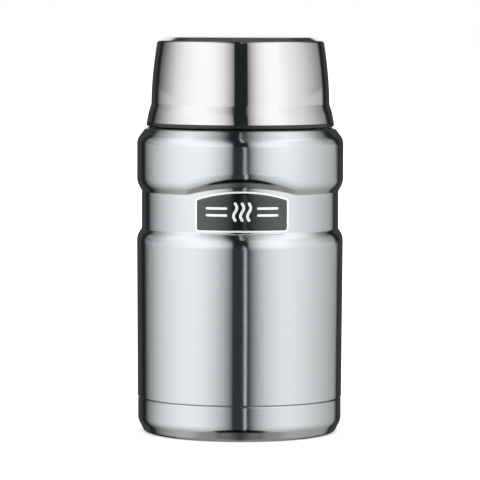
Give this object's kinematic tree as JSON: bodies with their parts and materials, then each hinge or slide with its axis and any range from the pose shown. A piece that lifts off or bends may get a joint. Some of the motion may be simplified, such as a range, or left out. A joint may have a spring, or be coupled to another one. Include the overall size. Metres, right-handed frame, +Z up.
{
  "type": "insulated food jar",
  "caption": "Vacuum-walled steel food jar with a wide mouth, a screw stopper with a soft seal, and a steel serving cup that screws down over it.",
  "frame": {"origin": "on the surface that the jar stands on, on the jar's axis", "axes": "+Z up along the jar's axis; the badge faces -Y; +X is to the right as seen from the badge side"},
  "size_m": [0.104, 0.104, 0.199],
  "materials": {
    "satin_steel": "satin, brushed round the body",
    "polished_steel": "polished",
    "inner_steel": "electropolished",
    "foil": "bright foil",
    "getter_metal": "sintered",
    "solder": "dull",
    "adhesive": "matt foam tape",
    "badge_metal": "white lacquer on bright metal",
    "badge_enamel": "glossy black",
    "silicone": "matt, translucent grey",
    "dark_plastic": "fine satin",
    "foam": "closed-cell foam",
    "dark_rubber": "matt"
  },
  "bodies": {
    "jar": {"outer_shell": "satin_steel", "inner_vessel": "inner_steel", "inner_bottom": "inner_steel", "radiation_shield": "foil", "getter": "getter_metal", "getter_clip": "inner_steel", "outer_bottom": "inner_steel", "vacuum_seal": "solder", "base_cap": "satin_steel", "badge_pad": "adhesive", "badge_plate": "badge_metal", "badge_inlay": "badge_enamel"},
    "stopper_seal": {"stopper_gasket": "silicone"},
    "stopper": {"stopper_body": "dark_plastic", "stopper_foam": "foam", "stopper_cover": "dark_plastic"},
    "cup_ring": {"cup_rim_ring": "dark_rubber"},
    "cup": {"cup_shell": "polished_steel", "cup_liner": "dark_plastic"}
  },
  "joints": [
    {"name": "stopper_rise", "type": "slide", "parent": "jar", "child": "stopper_seal", "axis": [0, 0, 1], "range_m": [0, 0.0181]},
    {"name": "stopper_turn", "type": "hinge", "parent": "stopper_seal", "child": "stopper", "pos_m": [0, 0, 0.165], "axis": [0, 0, 1], "range_deg": [0, 810]},
    {"name": "cup_rise", "type": "slide", "parent": "stopper", "child": "cup_ring", "axis": [0, 0, 1], "range_m": [0, 0.0241]},
    {"name": "cup_turn", "type": "hinge", "parent": "cup_ring", "child": "cup", "pos_m": [0, 0, 0.16], "axis": [0, 0, 1], "range_deg": [0, 1080]}
  ],
  "couplings": [
    {"joint": "stopper_rise", "follows": "stopper_turn", "m_per_rad": 0.0012732},
    {"joint": "cup_rise", "follows": "cup_turn", "m_per_rad": 0.0012732}
  ]
}
